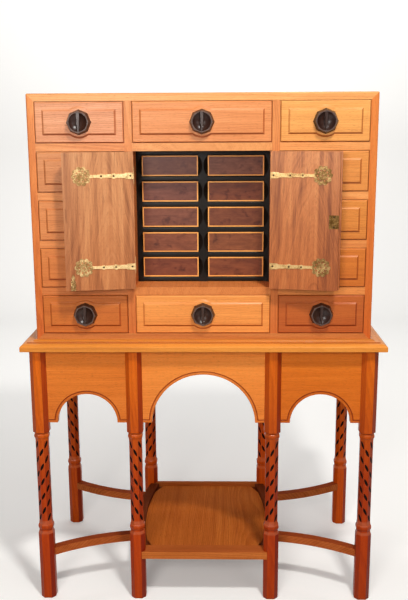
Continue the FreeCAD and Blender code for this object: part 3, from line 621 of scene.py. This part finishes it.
def wood(name, light, middle, dark, aged, ring_gap=0.006, taper=0.02, wander=0.03, ripple=0.004,
         ring_share=0.3, contrast=1.0, year_share=0.3, ribbon_share=0.25, roughness=0.42,
         coat=0.06, shine=0.3, box_wood=None, painted_lower_shade=None, edge_shade=None, fleck_share=0.0):
    """A sawn and polished wood. aged is the colour that a board's tone draws it towards.
    painted_lower_shade is painted shade, darker towards the floor: a height, a greater height and
    the shade below them. edge_shade is the same for the distance from the middle of the cabinet.
    box_wood is the light and the dark colour of the boards behind a front."""
    s = Surface(name, coat=coat, coat_roughness=wood_coat_roughness, shine=shine)
    grain = Grain(s, ring_gap, taper, wander, ripple)
    value = s.total((grain.late_wood, ring_share),
                    (s.range(grain.years, *wide_span), year_share),
                    (s.range(grain.fibres, *wide_span), fibre_share),
                    (s.range(grain.clouds, *usual_span), cloud_share),
                    (s.range(grain.ribbons, *usual_span), ribbon_share))
    most = ring_share * late_wood_peak + year_share + fibre_share + cloud_share + ribbon_share
    reach = value_reach / contrast
    value = s.range(value, most / 2 - reach, most / 2 + reach)
    base = s.ramp(value, (0.0, light), (0.5, middle), (1.0, dark))
    base = s.mix(s.range(grain.threads, *thread_span, 0.0, thread_share), base, dark)
    base = s.mix(s.math("MULTIPLY", grain.pores, pore_share), base, times(dark, pore_shade))

    tone = s.mark("board_tone", "Fac")
    base = s.mix(s.range(tone, 0.0, 1.0), base, aged, "MULTIPLY")
    base = s.mix(s.range(tone, 0.0, -1.0, 0.0, light_tone_share), base, light)
    if fleck_share:
        streaks = grain.pattern(along=11.0, across=95.0, detail=2.0, roughness=0.5)
        flecks = s.math("MULTIPLY", s.range(streaks, *fleck_span, smooth=True), fleck_share)
        base = s.mix(flecks, base, dark)
    # Painted shade: the wood is darker towards the floor, as the light falls off.
    if painted_lower_shade:
        low, high, shade = painted_lower_shade
        lowness = s.range(s.split(s.place())[2], low, high, 1.0, 0.0)
        base = s.mix(lowness, base, shade, "MULTIPLY")
    if edge_shade:
        inner_end, outer_end, shade = edge_shade
        sideways = s.math("ABSOLUTE", s.split(s.place())[0])
        ragged = s.math("MULTIPLY_ADD", grain.ribbons, edge_ribbon, sideways)
        base = s.mix(s.range(ragged, inner_end, outer_end), base, shade, "MULTIPLY")
    base = s.mix(1.0, base, s.mark("board_tint"), "MULTIPLY")

    face_mark = s.mark("face_mark", "Fac")
    # Faces marked above 0 are darkened by dirt and by painted shade.
    base = s.mix(face_mark, base, dirt_and_shade_colour, "MULTIPLY")
    if box_wood:
        inner = grain.plain_wood(*box_wood, fibres=0.5, rings=0.4)
        base = s.mix(s.mark("face_part", "Fac"), inner, base)
    # Faces marked below 0, the shoulders of the leg rings, are painted lighter: a painted
    # highlight.
    base = s.mix(s.range(face_mark, -1.0, 0.0, crown_highlight_share, 0.0), base, crown_highlight_colour)

    rough = s.range(grain.fibres, *usual_span, roughness - roughness_below,
                    roughness + roughness_above)
    rough = s.math("MULTIPLY_ADD", grain.pores, pore_roughness, rough)
    rough = s.math("ADD", s.range(face_mark, -1.0, 0.0, crown_polish, 0.0), rough)
    height = s.total((grain.threads, thread_height), (grain.pores, pore_height))
    return s.finish(base, rough, s.bump(height, strength=0.35, distance=0.0002))


burr_stretch = (0.5, 1.0, 1.5)
eye_stray = 0.05


def burr(name):
    """Dark mottled veneer on the fronts of the small drawers, with plain wood behind."""
    s = Surface(name, coat=0.14, coat_roughness=0.25, shine=0.25)
    grain = Grain(s, ring_gap=0.004, taper=0.05, wander=0.05, ripple=0.01)
    seeded = s.vector("ADD", s.place(), s.mark("board_seed"))
    drawn_out = s.vector("MULTIPLY", seeded, burr_stretch)
    swirl = s.noise(drawn_out, 26.0, detail=5.0, roughness=0.62, distortion=1.2)
    small_swirl = s.noise(drawn_out, 110.0, detail=3.0, roughness=0.6, distortion=0.8)
    stray = s.noise(seeded, 45.0, detail=2.0, roughness=0.5, output="Color")
    strayed = s.vector("ADD", seeded, s.vector("MULTIPLY", stray, times(white, eye_stray)))
    eyes = s.lumps(strayed, 34.0)
    value = s.total((s.range(eyes, 0.10, 0.34, 1.0, 0.0, smooth=True), 0.30),
                    (s.range(swirl, *usual_span), 0.5),
                    (s.range(small_swirl, *usual_span), 0.2),
                    (s.range(grain.fibres, *usual_span), 0.15))
    front = s.ramp(value, (0.1, (0.240, 0.088, 0.046)), (0.5, (0.155, 0.050, 0.027)),
                   (0.95, (0.062, 0.018, 0.011)))
    front = s.mix(1.0, front, s.mark("board_tint"), "MULTIPLY")
    plain = grain.plain_wood((0.62, 0.36, 0.17), (0.42, 0.21, 0.09), fibres=0.6, rings=0.3)
    base = s.mix(s.mark("face_part", "Fac"), plain, front)
    rough = s.range(swirl, *usual_span, 0.30, 0.42)
    return s.finish(base, rough, s.bump(grain.threads, strength=0.2, distance=0.0001))


rosette_width = 0.05
rosette_start = -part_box("left_door_straps")[0][0] - rosette_width
rosette_blend = 0.006


def brass(name):
    """Old brass, browner in patches, and tarnished at the pierced rosettes of the straps."""
    s = Surface(name, metallic=1.0)
    place = s.place()
    tarnish = s.noise(place, 75.0, detail=4.0, roughness=0.65)
    specks = s.noise(place, 420.0, detail=3.0, roughness=0.6)
    sideways = s.math("ABSOLUTE", s.split(place)[0])
    at_rosette = s.range(sideways, rosette_start, rosette_start + rosette_blend, smooth=True)
    value = s.total((s.range(tarnish, *usual_span), 0.6), (s.range(specks, 0.35, 0.7), 0.4),
                    (at_rosette, 0.42))
    base = s.ramp(value, (0.0, (1.0, 0.80, 0.46)), (0.45, (0.90, 0.63, 0.30)),
                  (1.0, (0.30, 0.17, 0.06)))
    base = s.mix(1.0, base, s.mark("board_tint"), "MULTIPLY")
    base = s.mix(s.range(s.mark("board_tone", "Fac"), 0.6, 0.9), base, (0.06, 0.035, 0.016))
    rough = s.range(value, 0.0, 1.0, 0.36, 0.60)
    fine_bumps = s.bump(specks, strength=0.2, distance=0.0002)
    dents = s.bump(s.lumps(place, 260.0), strength=0.35, distance=0.0006, normal=fine_bumps)
    return s.finish(base, rough, dents)


def half_clouded(s, grain):
    """Clouds and fibres in equal parts."""
    return s.total((s.range(grain.fibres, *usual_span), 0.5),
                   (s.range(grain.clouds, *usual_span), 0.5))


def ebonised(name):
    """Black stained wood with a soft polish."""
    s = Surface(name, coat=0.06, coat_roughness=0.2, shine=0.18)
    grain = Grain(s, ring_gap=0.004, taper=0.02, wander=0.02, ripple=0.004)
    base = s.ramp(half_clouded(s, grain), (0.0, (0.016, 0.011, 0.008)),
                  (1.0, (0.006, 0.0045, 0.0035)))
    rough = s.range(grain.fibres, *usual_span, 0.26, 0.38)
    return s.finish(base, rough, s.bump(grain.threads, strength=0.25, distance=0.00015))


def dark_pull(name):
    """Dark polished wood. The ring round the bowl is painted a grey brown, partly rubbed and partly
    a painted sheen.
    """
    s = Surface(name, coat=0.05, coat_roughness=0.25, shine=0.4)
    grain = Grain(s, ring_gap=0.003, taper=0.02, wander=0.02, ripple=0.004)
    value = half_clouded(s, grain)
    base = s.ramp(value, (0.0, (0.060, 0.024, 0.012)), (0.5, (0.030, 0.010, 0.006)),
                  (1.0, (0.012, 0.004, 0.003)))
    rubbed_sheen_colour = s.ramp(value, (0.0, (0.120, 0.068, 0.052)), (1.0, (0.056, 0.030, 0.022)))
    rubbed_and_sheen = s.mark("face_mark", "Fac")
    base = s.mix(rubbed_and_sheen, base, rubbed_sheen_colour)
    rough = s.range(grain.fibres, *usual_span, 0.26, 0.36)
    rough = s.math("MULTIPLY_ADD", rubbed_and_sheen, 0.22, rough)
    return s.finish(base, rough, s.bump(grain.threads, strength=0.25, distance=0.00015))


woods = {
    "case_wood": dict(
        light=(0.93, 0.44, 0.175), middle=(0.82, 0.325, 0.110), dark=(0.55, 0.165, 0.045),
        aged=(0.58, 0.34, 0.20), ring_gap=0.0040, contrast=0.72,
        painted_lower_shade=(0.76, 1.36, (0.84, 0.56, 0.36)),
        box_wood=((0.62, 0.38, 0.19), (0.46, 0.25, 0.11))),
    "stand_wood": dict(
        light=(0.84, 0.275, 0.046), middle=(0.70, 0.180, 0.022), dark=(0.42, 0.080, 0.007),
        aged=(0.64, 0.42, 0.30), ring_gap=0.0042, contrast=0.56, ring_share=0.2, year_share=0.22,
        roughness=0.34, coat=0.12, shine=0.10, painted_lower_shade=(0.0, 0.72, (0.68, 0.34, 0.22))),
    "dull_stand_wood": dict(
        light=(0.80, 0.26, 0.050), middle=(0.62, 0.160, 0.026), dark=(0.36, 0.074, 0.010),
        aged=(0.42, 0.32, 0.30), ring_gap=0.0042, contrast=0.75, roughness=0.62, coat=0.0,
        shine=0.04, painted_lower_shade=(0.0, 0.72, (0.92, 0.84, 0.78))),
    "leg_stand_wood": dict(
        light=(0.84, 0.220, 0.020), middle=(0.70, 0.144, 0.009), dark=(0.42, 0.064, 0.003),
        aged=(0.64, 0.42, 0.30), ring_gap=0.0042, contrast=0.60, roughness=0.36, coat=0.0,
        shine=0.18, painted_lower_shade=(0.36, 0.66, (0.66, 0.35, 0.12))),
    "door_veneer": dict(
        light=(0.74, 0.340, 0.145), middle=(0.58, 0.225, 0.088), dark=(0.24, 0.075, 0.030),
        aged=(0.75, 0.62, 0.5), ring_gap=0.0034, taper=0.14, wander=0.070, ripple=0.0045,
        ring_share=0.10, contrast=0.95, year_share=0.30, ribbon_share=0.50, roughness=0.38,
        coat=0.08, shine=0.25, painted_lower_shade=(0.88, 1.30, (0.80, 0.60, 0.46)),
        edge_shade=(0.31, 0.40, (0.76, 0.72, 0.76)), fleck_share=0.45),
    "dark_inlay": dict(
        light=(0.012, 0.006, 0.005), middle=(0.007, 0.004, 0.003), dark=(0.003, 0.002, 0.002),
        aged=(0.6, 0.6, 0.6), ring_gap=0.003, roughness=0.55, coat=0.0, shine=0.05),
    "pale_line": dict(
        light=(1.0, 0.50, 0.13), middle=(1.0, 0.43, 0.10), dark=(0.85, 0.32, 0.07),
        aged=(0.8, 0.7, 0.6), ring_gap=0.003, ring_share=0.15, roughness=0.36, coat=0.1),
}
finishes = {name: wood(name, **values) for name, values in woods.items()}
for name, make in (("pull_wood", dark_pull), ("burr_veneer", burr), ("ebonised_wood", ebonised),
                   ("brass", brass)):
    finishes[name] = make(name)

# Finish of every node


def front_board_only(board):
    """The share of the front's finish on a board. The foremost board of a drawer is its front."""
    return 1.0 if board.index == 0 else 0.0


special_finishes = {"lower_shelf": "dull_stand_wood", "stretchers": "dull_stand_wood",
                    "front_legs": "leg_stand_wood", "back_legs": "leg_stand_wood"}
# The large drawers are toned darker row by row towards the foot of the case, most at its lower
# corners: painted shade. The one at the upper left is toned lighter, a painted sheen.
node_tones = {"drawer_left_1": -0.1, "drawer_middle_1": 0.0, "drawer_right_1": 0.0,
              "drawer_left_2": 0.1, "drawer_left_3": 0.15, "drawer_left_4": 0.2,
              "drawer_right_2": 0.1, "drawer_right_3": 0.15, "drawer_right_4": 0.2,
              "drawer_left_5": 0.5, "drawer_middle_5": 0.0, "drawer_right_5": 0.8,
              "case_sides": 0.1, "case_top_and_bottom": 0.0, "case_dividers": 0.0,
              "case_back": 0.3, "nest_boards": 0.4, "stand_top": -0.3, "base_moulding": -0.3,
              "front_apron": -0.05, "back_apron": 0.3, "side_aprons": 0.1, "front_legs": 0.2,
              "back_legs": 0.1, "stretchers": 0.3}
# The large drawers at the upper left and the second and third small drawers of the left column are
# tinted bluer than the rest: a painted sheen.
node_tints = {"drawer_left_1": (0.92, 0.95, 1.25), "drawer_middle_1": (0.94, 0.86, 0.78),
              "drawer_right_1": (1.02, 1.12, 0.82), "drawer_left_2": (0.88, 0.92, 1.00),
              "drawer_left_3": (1.00, 1.04, 1.04), "drawer_left_4": (1.01, 1.00, 0.84),
              "drawer_right_2": (0.98, 1.00, 0.68), "drawer_right_3": (1.00, 1.03, 0.62),
              "drawer_right_4": (0.96, 0.88, 0.43), "drawer_left_5": (1.14, 1.26, 0.88),
              "drawer_middle_5": (1.22, 1.46, 1.25), "drawer_right_5": (1.08, 1.16, 0.95),
              "stand_top": (1.10, 1.42, 1.70), "base_moulding": (0.86, 1.02, 1.15),
              "back_legs": (1.45, 1.75, 1.20), "stretchers": (1.08, 1.08, 1.6),
              "right_door_straps": (0.62, 0.57, 0.50), "lock_plate": (0.34, 0.28, 0.20),
              "left_door": (1.10, 1.22, 1.28), "right_door": (1.08, 1.00, 0.84),
              "small_drawer_left_1": (0.90, 0.78, 0.80), "small_drawer_left_2": (0.95, 0.88, 1.05),
              "small_drawer_left_3": (1.05, 0.98, 1.05), "small_drawer_left_4": (1.20, 1.04, 0.90),
              "small_drawer_left_5": (1.02, 0.78, 0.66), "small_drawer_right_1": (1.12, 1.08, 1.10),
              "small_drawer_right_2": (0.93, 0.70, 0.58),
              "small_drawer_right_3": (0.98, 0.81, 0.68),
              "small_drawer_right_4": (1.26, 1.12, 0.84),
              "small_drawer_right_5": (1.08, 0.86, 0.66)}
face_rules = {**dict.fromkeys(large_drawers, front_dirt_and_painted_shade), **dict.fromkeys(pulls, rubbed_and_sheen_rim),
              "front_apron": apron_band_darkening_and_groove_shade, "back_apron": apron_band_darkening_and_groove_shade, "side_aprons": apron_band_darkening_and_groove_shade,
              "front_legs": leg_painted_shade_and_highlight, "back_legs": leg_painted_shade_and_highlight, "stand_top": board_groove_shade,
              "left_door": front_dirt_and_painted_shade, "right_door": front_dirt_and_painted_shade, "lower_shelf": shelf_rail_top_darkening,
              "stretchers": stretcher_top_darkening}
usual_tone_spread = 0.08
tone_spreads = {"case_sides": 0.02, "case_top_and_bottom": 0.02, "front_legs": 0.12,
                "front_apron": 0.06, "case_dividers": 0.2}
edge_widths = {**dict.fromkeys(large_drawers, 0.0007), **dict.fromkeys(pulls, 0.0006),
               **dict.fromkeys(small_drawers, 0.0004),
               "case_sides": 0.0008, "case_top_and_bottom": 0.0008, "case_back": 0.0006,
               "case_dividers": 0.0006, "stand_top": 0.0008, "front_legs": 0.0007,
               "back_legs": 0.0007, "stretchers": 0.0010, "lower_shelf": 0.0008,
               "front_apron": 0.0006, "back_apron": 0.0006, "side_aprons": 0.0006,
               "base_moulding": 0.0005, "left_door": 0.0008, "right_door": 0.0008,
               "nest_boards": 0.0005, "left_door_straps": 0.00025, "right_door_straps": 0.00025,
               "door_bolt_plate": 0.0003, "door_bolt": 0.0005, "lock_plate": 0.0002,
               "keyhole_escutcheon": 0.0002, "hinge_leaves": 0.0002}
nodes_with_pockets = ("front_legs", "back_legs")
screw_size = 0.012
brass_tone_spread = 0.3
middle_bay_edge = 0.15


def screw_tone(board, draw):
    """Screws are darker than the plates that they hold."""
    if max(board.size) < screw_size:
        return 1.0
    return draw.uniform(-brass_tone_spread, brass_tone_spread)


def shelf_tone(board, _draw):
    """The bowed side rails of the shelf are dark, and its small corner blocks are painted dark as
    the shade in the corners.
    """
    if board.size.x < shelf_rail_width:
        return 1.0
    return 0.15 if board.size.y < shelf_rail_width else 0.3


def fixed_tone(amount, spread):
    return lambda _board, draw: amount + draw.uniform(-spread, spread)


def even_tint(shade):
    return lambda _board: shade


def side_tint(board):
    """The sides of the case are a deeper orange, the right one most."""
    return (0.95, 0.72, 0.38) if board.centre.x > 0 else (1.00, 0.83, 0.56)


def divider_tint(board):
    """The rails at the right are paler, and the partitions are deeper than the rails."""
    if board.size.z > board.size.x:
        return (0.94, 0.86, 0.68)
    if board.centre.x > middle_bay_edge:
        return (1.08, 1.18, 1.05)
    return (1.04, 1.12, 1.02) if board.centre.x > -middle_bay_edge else (1.0, 1.0, 0.92)


def top_and_bottom_tint(board):
    """The board at the foot of the case is browner than the one at its top."""
    return (0.84, 0.96, 0.90) if board.centre.z < 1.0 else (1.0, 1.08, 0.92)


def apron_tint(board):
    """The three front aprons differ a little. The middle one is the lightest."""
    if abs(board.centre.x) < middle_bay_edge:
        return (1.25, 1.44, 1.85)
    return (1.04, 0.95, 0.62) if board.centre.x > 0 else (1.12, 1.17, 1.25)


def shelf_tint(board):
    """The front rail is lighter than the panel, and the back rail darker."""
    if is_shelf_rail(board):
        return (1.15, 1.30, 1.7) if board.centre.y < 0 else (0.80, 0.80, 0.90)
    return (1.06, 1.12, 1.0) if board.size.x > shelf_rail_width else (0.62, 0.60, 0.75)


def leg_tint(board):
    """The legs at the left are lighter."""
    return (0.98, 0.90, 0.60) if board.centre.x > 0 else (1.10, 1.06, 0.75)


board_tints = {"front_legs": leg_tint, "case_sides": side_tint, "case_dividers": divider_tint,
               "front_apron": apron_tint, "case_top_and_bottom": top_and_bottom_tint,
               "lower_shelf": shelf_tint}


def tone_of(name, slot):
    """The function that gives each board of a node its tone."""
    if slot == "brass":
        return screw_tone
    if name == "lower_shelf":
        return shelf_tone
    if name in node_tones:
        return fixed_tone(node_tones[name], tone_spreads.get(name, usual_tone_spread))
    return chance_tone


def finish_nodes():
    for name, obj in nodes.items():
        slot = obj.data.materials[0].name.split(".")[0]
        heart = flat_heart if slot == "door_veneer" else straight_heart
        part = front_board_only if name in large_drawers + small_drawers else None
        tint = board_tints.get(name) or even_tint(node_tints.get(name, white))
        mark_boards(obj, heart, tone_of(name, slot), part, face_rules.get(name), tint)
        obj.material_slots[0].link = "OBJECT"
        obj.material_slots[0].material = finishes[special_finishes.get(name, slot)]
        if name in edge_widths:
            soften(obj, edge_widths[name], name in nodes_with_pockets)


finish_nodes()

# Pale lines let into the edges of the small drawer fronts

line_width = 0.0030
line_inset = 0.0002
line_proud = 0.00015
line_sunk = 0.0003


def flat_frame(name, left, right, bottom, top, width, front, back):
    """Four mitred strips that lie in one upright plane."""
    mesh = bpy.data.meshes.new(name)
    build = bmesh.new()
    outer = [(left, bottom), (right, bottom), (right, top), (left, top)]
    inner = [(left + width, bottom + width), (right - width, bottom + width),
             (right - width, top - width), (left + width, top - width)]
    for i in range(4):
        j = (i + 1) % 4
        outline = [outer[i], outer[j], inner[j], inner[i]]
        near = [build.verts.new((x, front, z)) for x, z in outline]
        far = [build.verts.new((x, back, z)) for x, z in outline]
        build.faces.new(near)
        build.faces.new(far[::-1])
        for a in range(4):
            b = (a + 1) % 4
            build.faces.new((near[b], near[a], far[a], far[b]))
    bmesh.ops.recalc_face_normals(build, faces=build.faces)
    build.to_mesh(mesh)
    build.free()
    obj = bpy.data.objects.new(name, mesh)
    bpy.context.scene.collection.objects.link(obj)
    return obj


def add_edge_line(drawer):
    """The pale line in the front board of a small drawer. It moves with the drawer."""
    mesh = nodes[drawer].data
    front_board = Board(mesh, solids_of(mesh)[0], 0)
    low = front_board.low
    high = front_board.high
    line = flat_frame(drawer.replace("small_drawer", "edge_line"), low.x + line_inset,
                      high.x - line_inset, low.z + line_inset, high.z - line_inset, line_width,
                      low.y - line_proud, low.y + line_sunk)
    mark_boards(line)
    line.data.materials.append(finishes["pale_line"])
    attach(line, drawer)


for drawer in small_drawers:
    add_edge_line(drawer)

# Studio

floor_colour = (0.93, 0.92, 0.90)
floor_bounce = (0.26, 0.25, 0.24)
floor_mottle = 0.985
floor_roughness = 0.85
glow_colour = (1.0, 0.985, 0.96)
glow_strength = 0.17
world_colour = (1.0, 0.99, 0.97)
world_strength = 0.17


def pale_surface(name):
    """Floor and backdrop: plain paint. It looks pale, and throws little light back."""
    s = Surface(name, shine=0.1)
    mottle = s.noise(s.place(), 3.0, detail=3.0, roughness=0.5)
    seen = s.mix(mottle, times(floor_colour, floor_mottle), floor_colour)
    ray = s.add("ShaderNodeLightPath", {}).outputs
    looks = s.math("MAXIMUM", ray["Is Camera Ray"], ray["Is Glossy Ray"])
    looks = s.math("MAXIMUM", looks, ray["Is Transmission Ray"])
    s.put(s.shader.inputs["Emission Color"], colour(glow_colour))
    s.put(s.shader.inputs["Emission Strength"], s.math("MULTIPLY", looks, glow_strength))
    return s.finish(s.mix(looks, floor_bounce, seen), floor_roughness)


def studio_floor(width=14.0, front=-7.0, bend=3.2, radius=1.2, height=7.0, steps=16):
    """A floor that curves up into a backdrop."""
    profile = [(front, 0.0), (bend, 0.0)]
    for i in range(1, steps + 1):
        angle = math.pi / 2 * i / steps
        profile.append((bend + radius * math.sin(angle), radius * (1 - math.cos(angle))))
    profile.append((bend + radius, height))
    mesh = bpy.data.meshes.new("studio_floor")
    half = width / 2
    corners = [(x, y, z) for y, z in profile for x in (-half, half)]
    faces = [(2 * i, 2 * i + 1, 2 * i + 3, 2 * i + 2) for i in range(len(profile) - 1)]
    mesh.from_pydata(corners, [], faces)
    mesh.shade_smooth()
    obj = bpy.data.objects.new("studio_floor", mesh)
    mesh.materials.append(pale_surface("studio_paint"))
    bpy.context.scene.collection.objects.link(obj)


def area_light(name, place, target, size, power, shade=white):
    data = bpy.data.lights.new(name, "AREA")
    data.shape = "RECTANGLE"
    data.size, data.size_y = size
    data.energy = power
    data.color = shade
    obj = bpy.data.objects.new(name, data)
    obj.location = place
    obj.rotation_euler = (Vector(target) - Vector(place)).to_track_quat("-Z", "Y").to_euler()
    bpy.context.scene.collection.objects.link(obj)


def studio_world():
    world = bpy.data.worlds.new("studio_world")
    world.use_nodes = True
    background = world.node_tree.nodes["Background"]
    background.inputs["Color"].default_value = colour(world_colour)
    background.inputs["Strength"].default_value = world_strength
    bpy.context.scene.world = world


studio_floor()
studio_world()
area_light("front_light", place=(-0.65, -3.0, 1.75), target=(0.0, 0.0, 0.95), size=(1.0, 0.9),
           power=45.0, shade=(1.0, 0.98, 0.95))
area_light("side_light", place=(1.9, -2.8, 1.7), target=(0.0, 0.0, 0.9), size=(1.4, 1.2),
           power=11.0)
area_light("top_light", place=(0.62, -1.85, 3.4), target=(0.0, 0.0, 0.8), size=(0.30, 0.30),
           power=63.0, shade=(1.0, 0.99, 0.96))
area_light("backdrop_light", place=(0.0, 1.6, 3.6), target=(0.0, 4.3, 1.2), size=(4.0, 0.8),
           power=110.0)

# Camera, as solved from the photograph

camera_place = Vector((0.0489, -2.3598, 1.3219))
camera_pitch = math.radians(-11.891)
camera_yaw = math.radians(-1.231)
camera_roll = math.radians(-0.314)
camera_lens = 49.16
camera_sensor = 36.0
camera_nearest = 0.05
camera_furthest = 60.0


def photograph_camera():
    """The camera that took the photograph, with its turns in the order yaw, pitch and roll."""
    ahead = Vector((math.sin(camera_yaw) * math.cos(camera_pitch),
                    math.cos(camera_yaw) * math.cos(camera_pitch), math.sin(camera_pitch)))
    level = Vector((math.cos(camera_yaw), -math.sin(camera_yaw), 0.0))
    above = level.cross(ahead)
    right = level * math.cos(camera_roll) + above * math.sin(camera_roll)
    up = above * math.cos(camera_roll) - level * math.sin(camera_roll)
    data = bpy.data.cameras.new("photograph_camera")
    data.lens = camera_lens
    data.sensor_width = camera_sensor
    data.clip_start = camera_nearest
    data.clip_end = camera_furthest
    obj = bpy.data.objects.new("photograph_camera", data)
    turn = Matrix((right, up, -ahead)).transposed().to_4x4()
    obj.matrix_world = Matrix.Translation(camera_place) @ turn
    bpy.context.scene.collection.objects.link(obj)
    bpy.context.scene.camera = obj


photograph_camera()
bpy.context.scene.view_settings.view_transform = "Standard"
